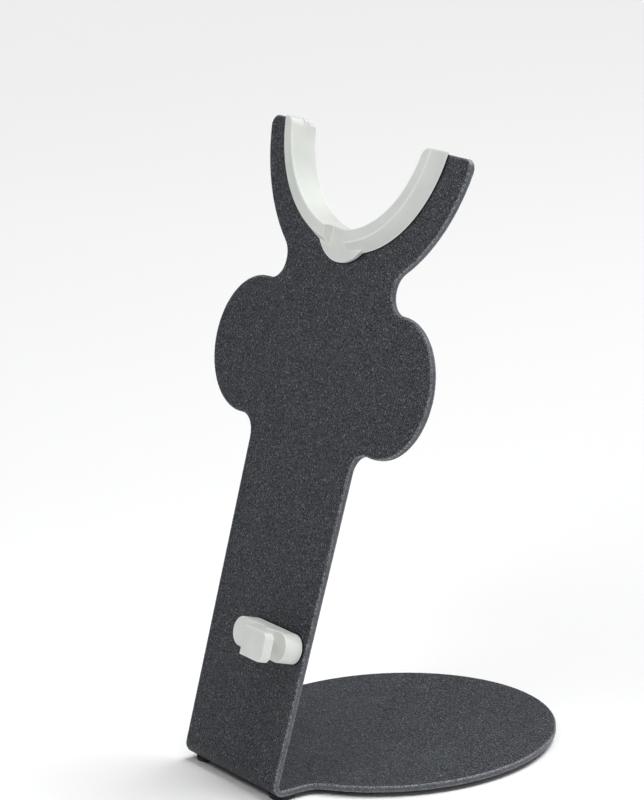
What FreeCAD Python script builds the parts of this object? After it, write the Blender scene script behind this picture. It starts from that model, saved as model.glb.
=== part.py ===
"""Hair dryer holder: one bent steel sheet that stands on a round base, with a
lined yoke for the dryer's barrel, two round ears for magnetic nozzles and a
cord clip. Millimetres, +Z up, +Y to the back; X is left to right.

The sheet has two flat stretches joined by one bend. Shapes on the leaning
strip are drawn in the strip's own frame: x across it, y up along it from the
line where its front plane meets the underside of the base, z out of its front.
"""
import FreeCAD, Part
import math
import os

# ---- driving dimensions -------------------------------------------------
sheet = 2.5                 # sheet thickness
edge_round = 0.5            # softened edges of the coated sheet
lean = 18.0                 # the strip leans back from upright, degrees
base_radius = 66.5          # round base
bend_reach = 77.9           # base centre to the strip's front plane, at the underside
bend_outer = 4.5            # outer radius of the bend
bend_half_width = 32.8      # half width of the strip at the bend
strip_half_width = 35.5     # half width of the strip under the ears
strip_top = 135.0           # where the strip reaches that width
ear_x = 47.4                # ear centre, across
ear_y = 165.7               # ear centre, up the strip
ear_radius = 27.6
yoke_y = 265.0              # centre of the yoke's arcs, up the strip
yoke_outer = 69.6           # outer radius of the two horns
yoke_notch = 48.6           # radius of the cut-out in the sheet
horn_top = 256.4            # where the horns are cut off level
horn_corner = 4.0           # rounding of their outer corners
inner_fillet = 8.5          # all inward corners of the outline

liner_bore = 45.9           # radius of the lined seat
liner_top = 257.2           # the liner's ends stand a little above the horns
liner_back_top = 255.9      # but its back lip ends just under their tops
liner_lip = 54.9            # outer radius of the front lip, carried on down to the sheet
liner_crest = 51.0          # outer radius of the front lip's flat face
liner_proud = 6.1           # how far the front lip stands out of the sheet
liner_lip_back = 53.0       # outer radius of the back lip
liner_back_proud = 3.0
liner_edge = 0.7            # rounding of the lip's long edges
liner_end_round = 4.5       # rounding of the front lip's two upper ends
sleeve_end_round = 2.0      # and of the seat behind it
groove_play = 0.05          # between the groove and the sheet's faces
shadow_gap = 0.5            # the outlines of the lip and of the clip are stepped off the sheet
shadow_depth = 0.9          # how far that step reaches in under them
neck_half_width = 7.1       # gap in the front lip for the dryer's neck
pad_radius = 19.0           # round pad under that gap
pad_y = 225.3
pad_thickness = 2.0

clip_low = 52.6             # cord clip on the strip's front: lower side, up the strip
clip_high = 64.3            # upper side
clip_bar = 8.0              # depth of the clip's bar, which lies on the strip
clip_turn = 26.2            # centre of the bar's round right end, across
hook_left = 16.6            # the hook stands on the bar from here
hook_right = 31.8           # to here
hook_turn = 25.4            # centre of the bowed edge of the hook's front face
hook_bow = 6.8              # radius of that edge
bow_past = 0.5              # how far the cut along that edge runs past the hook's sides
hook_corner = 2.6           # rounding of the hook's two right corners
hook_web = 3.8              # wall that closes the cord's slot on the left
hook_tongue = 4.0           # wall in front of the slot
cord_gap = 6.2              # width of the slot
cord_corner = 2.5           # rounding at the bottom of the slot
hook_edge = 0.5             # rounding of the hook's front edges
clip_edge = 0.4             # rounding of all other edges off the strip

screw_radius = 1.5          # thread of the two screws that hold the clip
screw_reach = 6.0           # thread length inside the clip
screw_head_radius = 2.75
screw_head = 1.7
head_round = 0.75           # rounding of the pan head
recess_length = 3.0         # cross recess, over its arms
recess_width = 0.6
recess_depth = 0.9
screw_hole = 1.6            # clearance hole in the sheet

foot_radius = 5.0
foot_height = 1.8
foot_round = 0.5
tape_height = 0.2           # adhesive disc on top of each foot
tape_radius = 4.4
foot_front_x = 27.0
foot_front_y = -69.0        # from the base centre
foot_ring = 57.0            # radius of the ring that holds the other feet
foot_side_angle = 12.0      # side feet, degrees behind the base's middle

# ---- derived values -----------------------------------------------------
underside = foot_height + tape_height
half_corner = math.radians((90.0 - lean) / 2.0)
bend_run = bend_outer / math.tan(half_corner)       # corner to where the bend begins
bend_inner = bend_outer - sheet
clip_depth = clip_bar + cord_gap + hook_tongue
clip_mid = (clip_low + clip_high) / 2.0
clip_half = (clip_high - clip_low) / 2.0
screw_places = (0.0, clip_turn)     # on the strip's middle line, and behind the hook
spare = 1.0                 # how far a cutting shape runs past what it cuts
tiny = 1e-3


def vec(x, y, z=0.0):
    return FreeCAD.Vector(x, y, z)


def line(a, b):
    return Part.LineSegment(a, b).toShape()


def arc(a, middle, b):
    return Part.Arc(a, middle, b).toShape()


def cylinder(radius, height, at, along=vec(0, 0, 1)):
    return Part.makeCylinder(radius, height, at, along)


def on_strip(shape):
    """Place a shape drawn in the strip's own frame."""
    placed = shape.copy()
    turn = FreeCAD.Rotation(vec(1, 0, 0), 90.0 - lean)
    placed.Placement = FreeCAD.Placement(vec(0, -bend_reach, underside), turn)
    return placed


def slab(edges, low, high):
    """A flat outline in the x-y plane, made solid between two heights."""
    face = Part.Face(Part.Wire(Part.__sortEdges__(edges)))
    face.translate(vec(0, 0, low))
    return face.extrude(vec(0, 0, high - low))


def between(a, b, share):
    return a + (b - a) * share


def arc_about(centre, radius, start, end):
    """Arc about a centre from one point's direction to another's, the short way."""
    first = (start - centre).normalize()
    last = (end - centre).normalize()
    middle = (first + last).normalize()
    return arc(centre + first * radius, centre + middle * radius, centre + last * radius)


def meet(centre_a, reach_a, centre_b, reach_b):
    """The point at both distances from two centres, on the outer side (larger x)."""
    apart = centre_b - centre_a
    gap = apart.Length
    along = (reach_a ** 2 - reach_b ** 2 + gap ** 2) / (2.0 * gap)
    off = math.sqrt(reach_a ** 2 - along ** 2)
    unit = apart * (1.0 / gap)
    side = vec(-unit.y, unit.x)
    if side.x < 0:
        side = side * -1.0
    return centre_a + unit * along + side * off


def mirrored(edges):
    return [edge.mirror(vec(0, 0), vec(1, 0)) for edge in edges]


# ---- the bent sheet -----------------------------------------------------
def strip_edges():
    """Right half of the strip's outline, from the bend up to the horn's tip."""
    ear = vec(ear_x, ear_y)
    yoke = vec(0, yoke_y)
    low = vec(bend_half_width, bend_run)
    high = vec(strip_half_width, strip_top)
    slope = (high - low).normalize()
    outward = vec(slope.y, -slope.x)
    # fillet between the strip's edge and the ear
    reach = ear_radius + inner_fillet
    rail = low + outward * inner_fillet
    back = rail - ear
    along = back.dot(slope)
    travel = -along - math.sqrt(along ** 2 - back.dot(back) + reach ** 2)
    lower_fillet = rail + slope * travel
    edge_end = lower_fillet - outward * inner_fillet
    ear_low = between(ear, lower_fillet, ear_radius / reach)
    # fillet between the ear and the horn
    upper_fillet = meet(yoke, yoke_outer + inner_fillet, ear, reach)
    ear_high = between(ear, upper_fillet, ear_radius / reach)
    horn_low = between(yoke, upper_fillet, yoke_outer / (yoke_outer + inner_fillet))
    # rounded outer corner of the horn, inside the outer arc and under the level top
    corner_reach = yoke_outer - horn_corner
    corner_drop = yoke_y - horn_top + horn_corner
    corner = vec(math.sqrt(corner_reach ** 2 - corner_drop ** 2), horn_top - horn_corner)
    horn_high = between(yoke, corner, yoke_outer / corner_reach)
    tip_outer = vec(corner.x, horn_top)
    tip_inner = vec(math.sqrt(yoke_notch ** 2 - (yoke_y - horn_top) ** 2), horn_top)
    far_side = vec(ear_x + ear_radius, ear_y)
    return [
        line(vec(0, bend_run), low),
        line(low, edge_end),
        arc_about(lower_fillet, inner_fillet, edge_end, ear_low),
        arc_about(ear, ear_radius, ear_low, far_side),
        arc_about(ear, ear_radius, far_side, ear_high),
        arc_about(upper_fillet, inner_fillet, ear_high, horn_low),
        arc_about(yoke, yoke_outer, horn_low, horn_high),
        arc_about(corner, horn_corner, horn_high, tip_outer),
        line(tip_outer, tip_inner),
        arc_about(yoke, yoke_notch, tip_inner, vec(0, yoke_y - yoke_notch)),
    ]


def base_edges():
    """Right half of the base's outline, from the bend round to the back."""
    fillet_x = bend_half_width + inner_fillet
    reach = base_radius + inner_fillet
    fillet = vec(fillet_x, -math.sqrt(reach ** 2 - fillet_x ** 2))
    start = vec(bend_half_width, bend_run - bend_reach)
    edge_end = vec(bend_half_width, fillet.y)
    round_start = between(vec(0, 0), fillet, base_radius / reach)
    side = vec(base_radius, 0)
    return [
        line(vec(0, start.y), start),
        line(start, edge_end),
        arc_about(fillet, inner_fillet, edge_end, round_start),
        arc_about(vec(0, 0), base_radius, round_start, side),
        arc_about(vec(0, 0), base_radius, side, vec(0, base_radius)),
    ]


def bend():
    """The bend: a ring segment as wide as the strip, drawn in the Y-Z plane."""
    centre = vec(0, bend_run - bend_reach, underside + bend_outer)
    down = vec(0, 0, -1)
    front = vec(0, -math.cos(math.radians(lean)), math.sin(math.radians(lean)))
    middle = (down + front).normalize()
    edges = [
        arc(centre + down * bend_outer, centre + middle * bend_outer, centre + front * bend_outer),
        line(centre + front * bend_outer, centre + front * bend_inner),
        arc(centre + front * bend_inner, centre + middle * bend_inner, centre + down * bend_inner),
        line(centre + down * bend_inner, centre + down * bend_outer),
    ]
    face = Part.Face(Part.Wire(edges))
    face.translate(vec(-bend_half_width, 0, 0))
    return face.extrude(vec(2 * bend_half_width, 0, 0))


def clip_holes():
    """The clip's two screw holes through the strip."""
    through = sheet + 2 * spare
    holes = [cylinder(screw_hole, through, vec(x, clip_mid, -sheet - spare)) for x in screw_places]
    return on_strip(Part.makeCompound(holes))


def stand_plate():
    upright = strip_edges()
    strip = on_strip(slab(upright + mirrored(upright), -sheet, 0))
    flat = base_edges()
    base = slab(flat + mirrored(flat), underside, underside + sheet)
    whole = base.fuse([bend(), strip]).removeSplitter()
    whole = rounded_long_edges(whole, edge_round)
    return whole.cut(clip_holes())


def rounded_long_edges(solid, radius):
    """Soften the outline's edges on both faces of the sheet, but not its thickness lines."""
    keep = []
    for edge in solid.Edges:
        middle = edge.valueAt((edge.FirstParameter + edge.LastParameter) / 2.0)
        ends = [vertex.Point for vertex in edge.Vertexes]
        across_sheet = len(ends) == 2 and abs((ends[0] - ends[1]).Length - sheet) < tiny
        across_bend = abs(middle.x) < tiny and abs(edge.Length - 2 * bend_half_width) < tiny
        if not across_sheet and not across_bend and sharp(solid, edge):
            keep.append(edge)
    return solid.makeFillet(radius, keep)


def sharp(solid, edge):
    """True where the two faces at an edge meet at an angle."""
    faces = solid.ancestorsOfType(edge, Part.Face)
    if len(faces) != 2:
        return False
    point = edge.valueAt((edge.FirstParameter + edge.LastParameter) / 2.0)
    normals = [face.normalAt(*face.Surface.parameter(point)) for face in faces]
    return abs(normals[0].dot(normals[1])) < 0.9


# ---- the liner of the yoke ----------------------------------------------
def seat_slab(outer, end_round, low, high, top=liner_top):
    """A ring about the yoke's centre, cut off level at the top, its ends rounded inside."""
    yoke = vec(0, yoke_y)
    reach = liner_bore + end_round
    drop = yoke_y - top + end_round
    end = vec(math.sqrt(reach ** 2 - drop ** 2), top - end_round)
    bore_top = between(yoke, end, liner_bore / reach)
    top_inner = vec(end.x, top)
    top_outer = vec(math.sqrt(outer ** 2 - (yoke_y - top) ** 2), top)
    right = [
        arc_about(yoke, liner_bore, vec(0, yoke_y - liner_bore), bore_top),
        arc_about(end, end_round, bore_top, top_inner),
        line(top_inner, top_outer),
        arc_about(yoke, outer, top_outer, vec(0, yoke_y - outer)),
    ]
    return slab(right + mirrored(right), low, high)


def stepped(disc, radius, centre):
    """Step the round outline of a disc off the sheet."""
    core = cylinder(radius - shadow_depth, shadow_gap, centre)
    return disc.cut(cylinder(radius + spare, shadow_gap, centre).cut(core))


def front_lip():
    """The lip in front of the sheet: a flat face with a sloping outer side."""
    yoke = vec(0, yoke_y)
    cone = stepped(Part.makeCone(liner_lip, liner_crest, liner_proud, yoke), liner_lip, yoke)
    lip = cone.common(seat_slab(yoke_outer, liner_end_round, 0, liner_proud))
    pad_centre = vec(0, pad_y)
    pad = stepped(cylinder(pad_radius, pad_thickness, pad_centre), pad_radius, pad_centre)
    pad = pad.common(seat_slab(yoke_outer, liner_end_round, 0, pad_thickness))
    gap_corner = vec(-neck_half_width, yoke_y - yoke_outer, 0)
    gap = Part.makeBox(2 * neck_half_width, yoke_notch, liner_proud, gap_corner)
    return lip.cut(gap).fuse(pad)


def cradle_liner():
    back = -sheet - groove_play
    sleeve = seat_slab(yoke_notch - groove_play, sleeve_end_round, back, groove_play)
    back_lip = seat_slab(liner_lip_back, sleeve_end_round, back - liner_back_proud, back, liner_back_top)
    lip = front_lip()
    lip.translate(vec(0, 0, groove_play))
    whole = lip.fuse([sleeve, back_lip]).removeSplitter()
    crest = groove_play + liner_proud
    return on_strip(whole.makeFillet(liner_edge, face_edges(whole, crest)))


def face_edges(solid, height):
    """Round edges that lie in one plane of the strip's frame."""
    found = []
    for edge in solid.Edges:
        curved = edge.Curve.TypeId == "Part::GeomCircle"
        box = edge.BoundBox
        if curved and abs(box.ZMin - height) < tiny and abs(box.ZMax - height) < tiny:
            found.append(edge)
    return found


# ---- the cord clip ------------------------------------------------------
def clip_bar_block():
    """The bar that lies on the strip, its outline stepped off it."""
    return bar_slab(clip_half, shadow_gap, clip_bar).fuse(bar_slab(clip_half - shadow_depth, 0, shadow_gap))


def bar_slab(half, low, high):
    """A slab with the bar's outline, round at both ends, of that half width."""
    low_left = vec(0, clip_mid - half)
    high_left = vec(0, clip_mid + half)
    low_right = vec(clip_turn, clip_mid - half)
    high_right = vec(clip_turn, clip_mid + half)
    edges = [
        arc(low_left, vec(-half, clip_mid), high_left),
        line(low_left, low_right),
        arc(low_right, vec(clip_turn + half, clip_mid), high_right),
        line(high_right, high_left),
    ]
    return slab(edges, low, high)


def hook_block():
    """The hook on the bar, with the cord's slot and a front face bowed on the right."""
    block = Part.makeBox(hook_right - hook_left, 2 * clip_half, clip_depth - clip_bar,
                         vec(hook_left, clip_low, clip_bar))
    block = block.cut(beyond_bow())
    corners = [edge for edge in block.Edges if at_right_corner(edge)]
    return block.makeFillet(hook_corner, corners).cut(cord_slot())


def beyond_bow():
    """What is cut off the hook's right: from a straight line at the slot to a bow at the front."""
    slot_front = clip_bar + cord_gap
    reach = clip_half + bow_past
    inset = math.sqrt(hook_bow ** 2 - reach ** 2)
    low = clip_mid - reach
    high = clip_mid + reach
    straight = line(vec(hook_right, low, slot_front), vec(hook_right, high, slot_front))
    bow = arc(vec(hook_turn + inset, low, clip_depth), vec(hook_turn + hook_bow, clip_mid, clip_depth),
              vec(hook_turn + inset, high, clip_depth))
    return Part.makeLoft([ring_beyond(straight, slot_front), ring_beyond(bow, clip_depth)], True, True)


def ring_beyond(side, depth):
    """A closed outline at one depth, with that side on its left and plain sides far past the hook."""
    far = hook_right + 2 * clip_half
    first = side.valueAt(side.FirstParameter)
    last = side.valueAt(side.LastParameter)
    corners = [last, vec(far, last.y, depth), vec(far, first.y, depth), first]
    return Part.Wire([side] + [line(a, b) for a, b in zip(corners, corners[1:])])


def at_right_corner(edge):
    """True for the hook's edges that run from front to back at its two right corners."""
    box = edge.BoundBox
    level = box.YMax - box.YMin < tiny
    return level and box.XMax > hook_right - tiny and box.ZMax - box.ZMin > tiny


def cord_slot():
    """The slot, open to the right and at both sides, rounded at its bottom."""
    left = hook_left + hook_web
    corner = vec(left, clip_low - spare, clip_bar)
    slot = Part.makeBox(hook_right + spare - left, 2 * clip_half + 2 * spare, cord_gap, corner)
    return slot.makeFillet(cord_corner, [edge for edge in slot.Edges if at_slot_bottom(edge, left)])


def at_slot_bottom(edge, left):
    box = edge.BoundBox
    along_strip = box.YMax - box.YMin > 2 * clip_half
    return along_strip and abs(box.XMin - left) < tiny and abs(box.XMax - left) < tiny


def cord_clip():
    """A bar on the strip with a hook at its right end, which holds the cord."""
    body = clip_bar_block().fuse(hook_block()).removeSplitter()
    front = [edge for edge in body.Edges if edge.BoundBox.ZMin > clip_depth - tiny]
    body = body.makeFillet(hook_edge, front)
    body = body.makeFillet(clip_edge, [edge for edge in body.Edges if on_mouth(edge)])
    bores = [cylinder(screw_radius, screw_reach, vec(x, clip_mid, 0)) for x in screw_places]
    return on_strip(body.cut(bores))


def on_mouth(edge):
    """The edges on the clip's outside at the two sides of the slot."""
    box = edge.BoundBox
    flat = box.ZMax - box.ZMin < tiny
    level = min(abs(box.ZMin - clip_bar), abs(box.ZMin - clip_bar - cord_gap)) < tiny
    inside = box.YMin > clip_low + tiny and box.YMax < clip_high - tiny
    return flat and level and not inside


def clip_screws():
    """Pan-head screws from behind the strip, each with a cross recess."""
    screws = []
    for x in screw_places:
        shank = cylinder(screw_radius, screw_reach + sheet, vec(x, clip_mid, -sheet))
        outside = -sheet - screw_head
        head = cylinder(screw_head_radius, screw_head, vec(x, clip_mid, outside))
        rim = [edge for edge in head.Edges if edge.BoundBox.ZMax < outside + tiny]
        head = head.makeFillet(head_round, rim)
        across = recess_arm(x, recess_length, recess_width)
        upright = recess_arm(x, recess_width, recess_length)
        screws.append(head.fuse(shank).cut([across, upright]))
    return on_strip(Part.makeCompound(screws))


def recess_arm(x, wide, tall):
    corner = vec(x - wide / 2.0, clip_mid - tall / 2.0, -sheet - screw_head)
    return Part.makeBox(wide, tall, recess_depth, corner)


# ---- the feet -----------------------------------------------------------
def foot_places():
    side = math.radians(foot_side_angle)
    side_x = foot_ring * math.cos(side)
    side_y = foot_ring * math.sin(side)
    return {
        "foot_front_left": vec(-foot_front_x, foot_front_y),
        "foot_front_right": vec(foot_front_x, foot_front_y),
        "foot_side_left": vec(-side_x, side_y),
        "foot_side_right": vec(side_x, side_y),
        "foot_rear": vec(0, foot_ring),
    }


def foot(at):
    body = cylinder(foot_radius, foot_height, at)
    rim = [edge for edge in body.Edges if edge.BoundBox.ZMax < tiny]
    return body.makeFillet(foot_round, rim)


def foot_tapes():
    discs = []
    for at in foot_places().values():
        discs.append(cylinder(tape_radius, tape_height, at + vec(0, 0, foot_height)))
    return Part.makeCompound(discs)


# ---- all nodes ----------------------------------------------------------
def assembly():
    nodes = {
        "stand_plate": stand_plate(),
        "cradle_liner": cradle_liner(),
        "cord_clip": cord_clip(),
        "clip_screws": clip_screws(),
        "foot_adhesive_discs": foot_tapes(),
    }
    for name, at in foot_places().items():
        nodes[name] = foot(at)
    # the origin is the middle of the footprint, on the surface it stands on
    box = Part.makeCompound(list(nodes.values())).optimalBoundingBox(False)
    for shape in nodes.values():
        shape.translate(vec(0, -(box.YMin + box.YMax) / 2.0, 0))
    return nodes


os.makedirs("parts", exist_ok=True)
for node, shape in assembly().items():
    shape.exportStep("parts/" + node + ".step")
    box = shape.optimalBoundingBox(False)
    print(node, shape.isValid(), len(shape.Solids), round(shape.Volume, 1),
          [round(value, 2) for value in (box.XMin, box.XMax, box.YMin, box.YMax, box.ZMin, box.ZMax)])
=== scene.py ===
"""Looks of a hair dryer holder: materials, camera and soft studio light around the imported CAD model."""
import math

import bpy
from mathutils import Matrix, Vector


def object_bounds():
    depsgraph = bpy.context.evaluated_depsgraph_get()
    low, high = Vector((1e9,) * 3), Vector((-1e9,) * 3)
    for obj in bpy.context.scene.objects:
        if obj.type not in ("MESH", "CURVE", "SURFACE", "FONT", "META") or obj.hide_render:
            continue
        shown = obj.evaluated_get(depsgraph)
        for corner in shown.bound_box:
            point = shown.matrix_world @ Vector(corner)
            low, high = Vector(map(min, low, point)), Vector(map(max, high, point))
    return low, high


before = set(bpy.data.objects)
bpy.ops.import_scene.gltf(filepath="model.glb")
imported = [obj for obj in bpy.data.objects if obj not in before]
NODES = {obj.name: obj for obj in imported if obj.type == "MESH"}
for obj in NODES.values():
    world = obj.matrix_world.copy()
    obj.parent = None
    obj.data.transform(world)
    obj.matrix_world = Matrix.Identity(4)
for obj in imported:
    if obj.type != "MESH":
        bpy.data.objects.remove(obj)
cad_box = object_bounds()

SCENE = bpy.context.scene
MM = 0.001

# The sheet's directions, and pairs of heights over which one part of it gives way to the next
LEAN = math.radians(18)
SIDEWAYS = (1, 0, 0)
UPWARD = (0, 0, 1)
OUT_OF_STRIP = (0, -math.cos(LEAN), math.sin(LEAN))
UP_THE_STRIP = (0, math.sin(LEAN), math.cos(LEAN))
BASE_TOP = (4.6 * MM, 4.9 * MM)
BEND_TOP = (8.0 * MM, 10.0 * MM)
HORN_TOP = (cad_box[1][2] - 5.33 * MM, cad_box[1][2] - 3.83 * MM)

# Stretches of a cloudy pattern's range from 0 to 1, in which most of the pattern lies
MIDDLE = (0.3, 0.7)
WIDE_MIDDLE = (0.25, 0.75)

# Colours of the powder coat: its film from pit to crest, pale specks that are partly painted glints, cut
# sides partly painted paler as lit, edges partly thinner coat and partly painted highlight, horn tops
# painted as a highlight, painted shade in crevices, and dust that lies on it
COAT_PIT = (0.0018, 0.0024, 0.0035)
COAT_CREST = (0.075, 0.083, 0.097)
COAT_HAZE = (0.046, 0.052, 0.060)
COAT_SPECK_AND_GLINT = (0.305, 0.328, 0.36)
COAT_SIDES_AND_LIGHT = ((0.075, 0.08, 0.094), (0.135, 0.143, 0.163))
COAT_EDGE_AND_HIGHLIGHT = (0.4, 0.415, 0.44)
COAT_HORN_HIGHLIGHT = (0.3, 0.308, 0.325)
PAINTED_SHADE = (0.004, 0.004, 0.005)
DUST = (0.33, 0.325, 0.31)

# Colours of the trims: a darker and a lighter tone of the body, its edges (painted highlights on the liner
# and clip) and its blemishes
LINER_BODY = ((0.60, 0.625, 0.592), (0.66, 0.68, 0.647))
LINER_EDGE_HIGHLIGHT = (0.82, 0.83, 0.81)
LINER_FLECK = (0.42, 0.43, 0.41)
CLIP_BODY = ((0.735, 0.755, 0.722), (0.785, 0.80, 0.77))
CLIP_EDGE_HIGHLIGHT = (0.84, 0.85, 0.83)
RUBBER_BODY = ((0.014, 0.014, 0.015), (0.032, 0.032, 0.033))
FLOOR_DUST = (0.14, 0.135, 0.13)
ADHESIVE_BODY = ((0.2, 0.2, 0.195), (0.3, 0.3, 0.29))
ADHESIVE_BUBBLE = (0.42, 0.42, 0.41)
ZINC_BODY = ((0.52, 0.53, 0.55), (0.66, 0.655, 0.63))
ZINC_EDGE = (0.8, 0.8, 0.8)
FLOOR_BODY = ((0.93, 0.93, 0.935), (0.95, 0.95, 0.95))


# ---- shader trees --------------------------------------------------------------------------
class Tree:
    """A tree of shader nodes, with short ways to add, set and link them."""

    def __init__(self, tree):
        self.tree = tree

    def add(self, kind, **settings):
        node = self.tree.nodes.new(kind)
        for name, value in settings.items():
            setattr(node, name, value)
        return node

    def put(self, value, socket):
        """Sets a socket to a number or colour, or links another node's output to it."""
        if isinstance(value, bpy.types.NodeSocket):
            self.tree.links.new(value, socket)
        else:
            socket.default_value = value

    def ramp(self, value, old_range, new_range=(0.0, 1.0), curve="SMOOTHSTEP"):
        """Carries a value from one range to another, and holds it at the new range's ends beyond them."""
        node = self.add("ShaderNodeMapRange", interpolation_type=curve)
        ends = zip(("From Min", "From Max", "To Min", "To Max"), (*old_range, *new_range))
        for name, number in ends:
            node.inputs[name].default_value = number
        self.put(value, node.inputs["Value"])
        return node.outputs["Result"]

    def maths(self, operation, first, second=0.0):
        node = self.add("ShaderNodeMath", operation=operation)
        self.put(first, node.inputs[0])
        self.put(second, node.inputs[1])
        return node.outputs["Value"]

    def times(self, first, second):
        return self.maths("MULTIPLY", first, second)

    def plus(self, first, second):
        return self.maths("ADD", first, second)

    def minus(self, first, second):
        return self.maths("SUBTRACT", first, second)

    def larger(self, first, second):
        return self.maths("MAXIMUM", first, second)

    def along(self, vector, direction):
        """How far a vector points in a direction."""
        node = self.add("ShaderNodeVectorMath", operation="DOT_PRODUCT")
        self.put(vector, node.inputs[0])
        self.put(direction, node.inputs[1])
        return node.outputs["Value"]

    def upright_part(self, vector):
        split = self.add("ShaderNodeSeparateXYZ")
        self.put(vector, split.inputs["Vector"])
        return split.outputs["Z"]


class Look(Tree):
    """One material on a Principled shader. Its patterns are solid ones, sized in metres on the part."""

    def __init__(self, name, **settings):
        self.material = bpy.data.materials.new(name)
        self.material.use_nodes = True
        super().__init__(self.material.node_tree)
        self.shader = self.tree.nodes["Principled BSDF"]
        for socket, value in settings.items():
            self.shader.inputs[socket.replace("_", " ")].default_value = value
        self.place = self.add("ShaderNodeTexCoord").outputs["Object"]
        self.normal = self.add("ShaderNodeNewGeometry").outputs["Normal"]

    def noise(self, grain, detail=2.0, rough=0.5, stretch=(1.0, 1.0, 1.0)):
        """Cloudy pattern from 0 to 1 whose lumps are about grain metres across."""
        stretched = self.add("ShaderNodeMapping")
        stretched.inputs["Scale"].default_value = stretch
        self.put(self.place, stretched.inputs["Vector"])
        node = self.add("ShaderNodeTexNoise")
        node.inputs["Scale"].default_value = 1 / grain
        node.inputs["Detail"].default_value = detail
        node.inputs["Roughness"].default_value = rough
        self.put(stretched.outputs["Vector"], node.inputs["Vector"])
        return node.outputs[0]

    def specks(self, spacing, size, share):
        """Mask of round specks: a share of points about spacing metres apart carries one of that size."""
        points = self.add("ShaderNodeTexVoronoi")
        points.inputs["Scale"].default_value = 1 / spacing
        self.put(self.place, points.inputs["Vector"])
        number = self.add("ShaderNodeSeparateColor")
        self.put(points.outputs["Color"], number.inputs["Color"])
        outline = size / 2 / spacing
        full = 0.35 * outline
        blur = 0.05
        dot = self.ramp(points.outputs["Distance"], (outline, full))
        chosen = self.ramp(number.outputs["Red"], (1 - share, 1 - share + blur))
        return self.times(dot, chosen)

    def mix(self, share, first, second):
        """A colour between two others, share of the way from the first to the second."""
        node = self.add("ShaderNodeMix", data_type="RGBA")
        self.put(share, node.inputs[0])
        for value, socket in ((first, node.inputs[6]), (second, node.inputs[7])):
            self.put(value if isinstance(value, bpy.types.NodeSocket) else (*value, 1.0), socket)
        return node.outputs[2]

    def edges(self, reach):
        """1 along outside and inside edges, falling to 0 about reach metres away from them."""
        rounded = self.add("ShaderNodeBevel", samples=4)
        rounded.inputs["Radius"].default_value = reach
        flat, turned = 0.995, 0.93
        return self.ramp(self.along(rounded.outputs["Normal"], self.normal), (flat, turned))

    def crevices(self, reach):
        """1 where something else stands close by, as beside the liner's lip, and 0 beyond reach metres."""
        shade = self.add("ShaderNodeAmbientOcclusion", samples=8)
        shade.inputs["Distance"].default_value = reach
        open_air, shut_in = 0.92, 0.66
        return self.ramp(shade.outputs["AO"], (open_air, shut_in))

    def facing(self, direction):
        """How squarely the surface faces that direction or its opposite, from 0 to 1."""
        return self.maths("ABSOLUTE", self.along(self.normal, direction))

    def height(self):
        return self.upright_part(self.place)

    def bump(self, height, distance, strength):
        node = self.add("ShaderNodeBump")
        node.inputs["Strength"].default_value = strength
        node.inputs["Distance"].default_value = distance
        self.put(height, node.inputs["Height"])
        return node.outputs["Normal"]

    def finish(self, **outputs):
        for socket, value in outputs.items():
            self.put(value, self.shader.inputs[socket.replace("_", " ")])
        return self.material


# ---- materials -----------------------------------------------------------------------------
def cut_sides(look):
    """1 on the sheet's thin sides, where it was cut: across the leaning strip, and round the flat base."""
    across_strip = look.ramp(look.facing(OUT_OF_STRIP), (0.28, 0.12))
    above_bend = look.ramp(look.height(), BEND_TOP)
    sideways = look.ramp(look.facing(SIDEWAYS), (0.6, 0.9))
    strip_sides = look.times(across_strip, look.larger(above_bend, sideways))
    round_base = look.ramp(look.facing(UPWARD), (0.4, 0.15))
    below_top = look.ramp(look.height(), BASE_TOP, (1.0, 0.0))
    return look.larger(strip_sides, look.times(round_base, below_top))


def horn_tops(look):
    """Mask of the narrow tops of the two horns, which are painted paler as a highlight."""
    most = 0.85
    upward = look.ramp(look.facing(UP_THE_STRIP), (0.45, 0.7))
    return look.times(upward, look.ramp(look.height(), HORN_TOP, (0.0, most)))


def coat_film(look, grain, cloud, specks, flats):
    """The coat as sprayed: charcoal grains with pale specks, partly flecks and partly painted glints on the
    grain crests, and fewer of them on the cut sides.
    """
    crests = look.ramp(grain, (0.38, 0.65))
    haze = look.ramp(cloud, (0.25, 0.8), (0.0, 0.12))
    film = look.mix(haze, look.mix(crests, COAT_PIT, COAT_CREST), COAT_HAZE)
    strong_on_crests = look.ramp(grain, (0.44, 0.62), (0.05, 0.9))
    weak_on_sides = look.ramp(flats, (0.0, 1.0), (0.25, 1.0))
    # pale specks on the crests: partly flecks in the coat and partly painted glints of light on the grain
    return look.mix(look.times(look.times(specks, strong_on_crests), weak_on_sides), film, COAT_SPECK_AND_GLINT)


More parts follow.
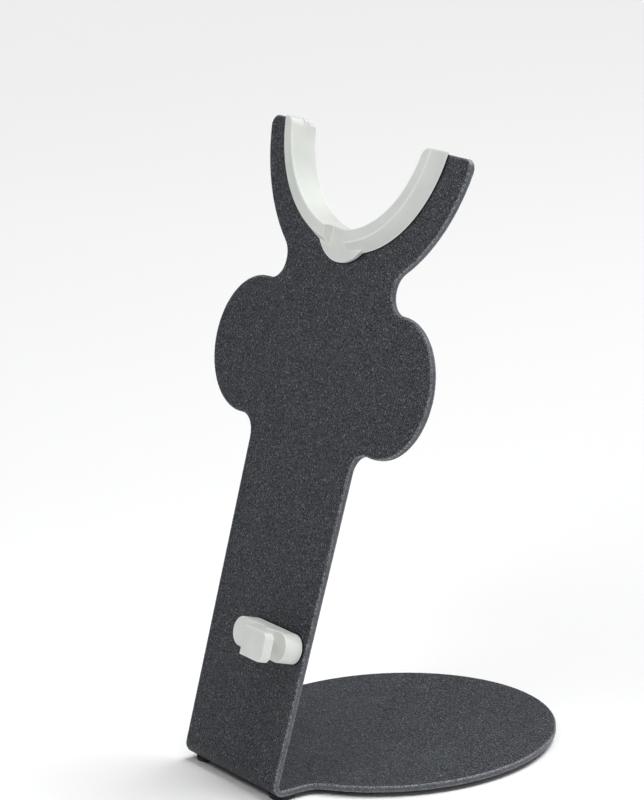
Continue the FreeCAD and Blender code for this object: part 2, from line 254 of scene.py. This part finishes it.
def coat_wear_and_painted_light(look, film, grain, sides):
    """What is added to the film: smoothed cut sides, partly painted paler as lit; edges made paler, partly
    as thinner coat and partly as painted highlights; horn tops painted paler as a highlight; painted shade
    in crevices; dust on top.
    """
    edge_reach, crevice_reach = 1.15 * MM, 1.4 * MM
    side_share, painted_shade_share = 0.8, 0.97
    # cut sides made paler, partly as smoother coat and partly as painted light falling on the sides
    side_tone = look.mix(look.ramp(look.noise(1.3 * MM, detail=2.5), MIDDLE), *COAT_SIDES_AND_LIGHT)
    colour = look.mix(look.times(sides, side_share), film, side_tone)
    grainy = look.ramp(grain, (0.43, 0.58), (0.22, 1.0))
    # edges made paler, partly as thinner coat and partly as painted highlight
    colour = look.mix(look.times(look.edges(edge_reach), grainy), colour, COAT_EDGE_AND_HIGHLIGHT)
    # painted highlight: the horn tops are made paler as the bright line they catch from above
    colour = look.mix(horn_tops(look), colour, COAT_HORN_HIGHLIGHT)
    # painted shade: the coat is darkened to near black where another part stands close, as the contact
    # shadow beside the liner's lip and the clip
    colour = look.mix(look.times(look.crevices(crevice_reach), painted_shade_share), colour, PAINTED_SHADE)
    patches = look.ramp(look.noise(11 * MM, detail=4.0), (0.45, 0.85), (0.0, 0.035))
    level = look.ramp(look.facing(UPWARD), (0.35, 0.95))
    return look.mix(look.times(level, patches), colour, DUST)


def powder_coat():
    """Sand-textured charcoal powder coat, smoother and partly painted paler as lit on the cut sides, with
    thin pale edges that are partly painted highlights.
    """
    look = Look("powder_coat", Specular_IOR_Level=0.3)
    sides = cut_sides(look)
    flats = look.minus(1.0, sides)
    grain = look.noise(0.62 * MM, detail=1.6, rough=0.6)
    fine = look.noise(0.3 * MM, detail=1.5)
    cloud = look.noise(26 * MM, detail=3.0)
    specks = look.specks(spacing=0.8 * MM, size=0.66 * MM, share=0.5)
    colour = coat_wear_and_painted_light(look, coat_film(look, grain, cloud, specks, flats), grain, sides)
    roughness = look.plus(look.ramp(cloud, (0.3, 0.75), (0.48, 0.58)), look.times(fine, 0.08))
    roughness = look.minus(roughness, look.times(sides, 0.12))
    height = look.plus(look.times(grain, 0.8), look.plus(look.times(specks, 0.5), look.times(fine, 0.3)))
    height = look.times(height, look.ramp(flats, (0.0, 1.0), (0.3, 1.0)))
    relief = look.bump(height, distance=0.3 * MM, strength=0.8)
    return look.finish(Base_Color=colour, Roughness=roughness, Normal=relief)


def silicone():
    """Satin light-grey moulded silicone, slightly see-into, with a matt mould texture and painted
    highlights along its edges.
    """
    look = Look("liner_silicone", Specular_IOR_Level=0.55, Subsurface_Weight=0.06,
                Subsurface_Radius=(1.0, 1.0, 0.9), Subsurface_Scale=0.7 * MM)
    cloud = look.noise(14 * MM, detail=3.0)
    fine = look.noise(0.3 * MM)
    scuff = look.noise(3.5 * MM, detail=4.0, rough=0.65)
    body = look.mix(look.ramp(cloud, WIDE_MIDDLE), *LINER_BODY)
    body = look.mix(look.specks(spacing=2.4 * MM, size=0.22 * MM, share=0.12), body, LINER_FLECK)
    # painted highlight along the liner's crease and edges
    colour = look.mix(look.times(look.edges(0.9 * MM), 0.85), body, LINER_EDGE_HIGHLIGHT)
    roughness = look.plus(look.ramp(scuff, MIDDLE, (0.3, 0.46)), look.times(fine, 0.06))
    height = look.plus(look.times(fine, 0.7), look.times(scuff, 0.6))
    relief = look.bump(height, distance=0.05 * MM, strength=0.5)
    return look.finish(Base_Color=colour, Roughness=roughness, Normal=relief)


def clip_plastic():
    """Off-white moulded plastic, satin, with cloudy gloss and edges painted paler as highlights."""
    look = Look("clip_plastic", Specular_IOR_Level=0.5, Subsurface_Weight=0.03,
                Subsurface_Radius=(1.0, 0.95, 0.85), Subsurface_Scale=0.6 * MM)
    cloud = look.noise(7 * MM, detail=3.0)
    fine = look.noise(0.22 * MM)
    body = look.mix(look.ramp(cloud, WIDE_MIDDLE), *CLIP_BODY)
    # painted highlight along the clip's creases and edges
    colour = look.mix(look.times(look.edges(0.8 * MM), 0.7), body, CLIP_EDGE_HIGHLIGHT)
    roughness = look.plus(look.ramp(cloud, MIDDLE, (0.32, 0.44)), look.times(fine, 0.07))
    relief = look.bump(fine, distance=0.035 * MM, strength=0.5)
    return look.finish(Base_Color=colour, Roughness=roughness, Normal=relief)


def foot_rubber():
    """Matt black rubber with fine pores and patches of pale floor dust."""
    look = Look("foot_rubber", Specular_IOR_Level=0.35)
    pores = look.noise(0.35 * MM, detail=3.0, rough=0.6)
    cloud = look.noise(3 * MM, detail=3.0)
    body = look.mix(look.ramp(pores, MIDDLE), *RUBBER_BODY)
    colour = look.mix(look.ramp(cloud, (0.5, 0.8), (0.0, 0.25)), body, FLOOR_DUST)
    roughness = look.ramp(cloud, MIDDLE, (0.62, 0.82))
    relief = look.bump(pores, distance=0.06 * MM, strength=0.6)
    return look.finish(Base_Color=colour, Roughness=roughness, Normal=relief)


def adhesive_film():
    """Cloudy acrylic adhesive, with tiny trapped bubbles."""
    look = Look("adhesive_film", Specular_IOR_Level=0.5, Subsurface_Weight=0.2, Subsurface_Scale=0.3 * MM)
    cloud = look.noise(2.5 * MM, detail=3.0)
    bubbles = look.specks(spacing=1.1 * MM, size=0.35 * MM, share=0.5)
    body = look.mix(look.ramp(cloud, MIDDLE), *ADHESIVE_BODY)
    colour = look.mix(look.times(bubbles, 0.5), body, ADHESIVE_BUBBLE)
    roughness = look.ramp(cloud, MIDDLE, (0.3, 0.5))
    relief = look.bump(look.plus(cloud, bubbles), distance=0.03 * MM, strength=0.5)
    return look.finish(Base_Color=colour, Roughness=roughness, Normal=relief)


def zinc_steel():
    """Bright zinc-plated screw steel, with fine turning marks and a faint cloudy passivation."""
    look = Look("zinc_steel", Metallic=1.0)
    cloud = look.noise(1.6 * MM, detail=3.0)
    marks = look.noise(0.12 * MM, stretch=(1.0, 6.0, 1.0))
    body = look.mix(look.ramp(cloud, MIDDLE), *ZINC_BODY)
    colour = look.mix(look.times(look.edges(0.3 * MM), 0.5), body, ZINC_EDGE)
    roughness = look.plus(look.ramp(cloud, MIDDLE, (0.24, 0.38)), look.times(marks, 0.08))
    relief = look.bump(marks, distance=0.012 * MM, strength=0.5)
    return look.finish(Base_Color=colour, Roughness=roughness, Normal=relief)


def dress():
    """Gives every CAD node its material. The nodes that aren't named here are the five feet."""
    rubber = foot_rubber()
    finishes = {
        "stand_plate": powder_coat(),
        "cradle_liner": silicone(),
        "cord_clip": clip_plastic(),
        "clip_screws": zinc_steel(),
        "foot_adhesive_discs": adhesive_film(),
    }
    for name, node in NODES.items():
        node.data.materials.clear()
        node.data.materials.append(finishes.get(name, rubber))


# ---- stage ---------------------------------------------------------------------------------
def pale_floor(reach):
    """A large plain floor at the height that the feet stand on."""
    corners = [(-reach, -reach, 0), (reach, -reach, 0), (reach, reach, 0), (-reach, reach, 0)]
    mesh = bpy.data.meshes.new("floor")
    mesh.from_pydata(corners, [], [(0, 1, 2, 3)])
    floor = bpy.data.objects.new("floor", mesh)
    SCENE.collection.objects.link(floor)
    look = Look("pale_floor", Roughness=0.7, Specular_IOR_Level=0.25)
    look.finish(Base_Color=look.mix(look.noise(0.6), *FLOOR_BODY))
    mesh.materials.append(look.material)


def studio_air():
    """A white sweep low behind the holder, dimmer overhead and in front, so dark parts keep their depth."""
    world = bpy.data.worlds.new("studio_air")
    SCENE.world = world
    world.use_nodes = True
    air = Tree(world.node_tree)
    outward = air.add("ShaderNodeTexCoord").outputs["Generated"]
    behind = (-0.5, 0.85, 0.0)
    at_horizon, overhead = 0.85, 0.2
    in_front, at_back = 0.45, 1.0
    low = air.ramp(air.upright_part(outward), (0.03, 0.16), (at_horizon, overhead), "LINEAR")
    sweep = air.ramp(air.along(outward, behind), (-0.5, 0.5), (in_front, at_back), "LINEAR")
    background = air.tree.nodes["Background"]
    air.put(air.times(low, sweep), background.inputs["Strength"])
    background.inputs["Color"].default_value = (0.985, 0.992, 1.0, 1.0)


def softbox(name, place, aim, size, watts):
    """A rectangular lamp at a place, turned to a point, that the camera doesn't see."""
    data = bpy.data.lights.new(name, "AREA")
    data.shape = "RECTANGLE"
    data.size, data.size_y = size
    data.energy = watts
    lamp = bpy.data.objects.new(name, data)
    lamp.location = place
    lamp.rotation_euler = (Vector(aim) - Vector(place)).to_track_quat("-Z", "Y").to_euler()
    lamp.visible_camera = False
    SCENE.collection.objects.link(lamp)


def high_sun(strength, towards, spread):
    """Wide soft light from far above, the same over the whole floor. Its spread is in degrees."""
    data = bpy.data.lights.new("high_sun", "SUN")
    data.energy = strength
    data.angle = math.radians(spread)
    lamp = bpy.data.objects.new("high_sun", data)
    lamp.rotation_euler = Vector(towards).to_track_quat("Z", "Y").to_euler()
    SCENE.collection.objects.link(lamp)


def add_lights():
    """A soft sun, a small key near the cradle, and weak softboxes at the right, in front and behind."""
    middle = (Vector(cad_box[0]) + Vector(cad_box[1])) / 2
    cradle = (0.0, 0.0, 0.22)
    high_sun(strength=2.7, towards=(0.17, 0.35, 0.9), spread=45)
    softbox("key_softbox", place=(0.08, -0.3, 0.42), aim=cradle, size=(0.16, 0.16), watts=0.62)
    softbox("right_softbox", place=(1.15, -0.1, 0.6), aim=middle, size=(0.5, 0.8), watts=1.8)
    softbox("front_softbox", place=(-0.2, -1.4, 0.9), aim=middle, size=(0.9, 0.7), watts=0.3)
    softbox("rim_softbox", place=(-0.25, 0.95, 1.0), aim=middle, size=(0.5, 0.3), watts=1.5)


def add_camera():
    """The viewing angle of a person standing to the holder's right, looking a little down at it."""
    azimuth = math.radians(57.54)
    elevation = math.radians(14.79)
    roll = math.radians(-2.59)
    distance = 1.4089
    base_centre = Vector((0, 0.00616, 0.002))
    sideways = -0.0215
    height = 0.1397
    level = Vector((math.cos(azimuth), math.sin(azimuth), 0))
    back = Vector((math.sin(azimuth) * math.cos(elevation), -math.cos(azimuth) * math.cos(elevation),
                   math.sin(elevation)))
    up = back.cross(level)
    right = level * math.cos(roll) + up * math.sin(roll)
    up = up * math.cos(roll) - level * math.sin(roll)
    target = base_centre + level * sideways + Vector((0, 0, height))
    data = bpy.data.cameras.new("camera")
    data.sensor_width = 36
    data.lens = 161.54
    camera = bpy.data.objects.new("camera", data)
    SCENE.collection.objects.link(camera)
    turned = Matrix((right, up, back)).transposed().to_4x4()
    turned.translation = target + back * distance
    camera.matrix_world = turned
    SCENE.camera = camera


SCENE.view_settings.view_transform = "Standard"
add_camera()
dress()
pale_floor(reach=12.0)
studio_air()
add_lights()
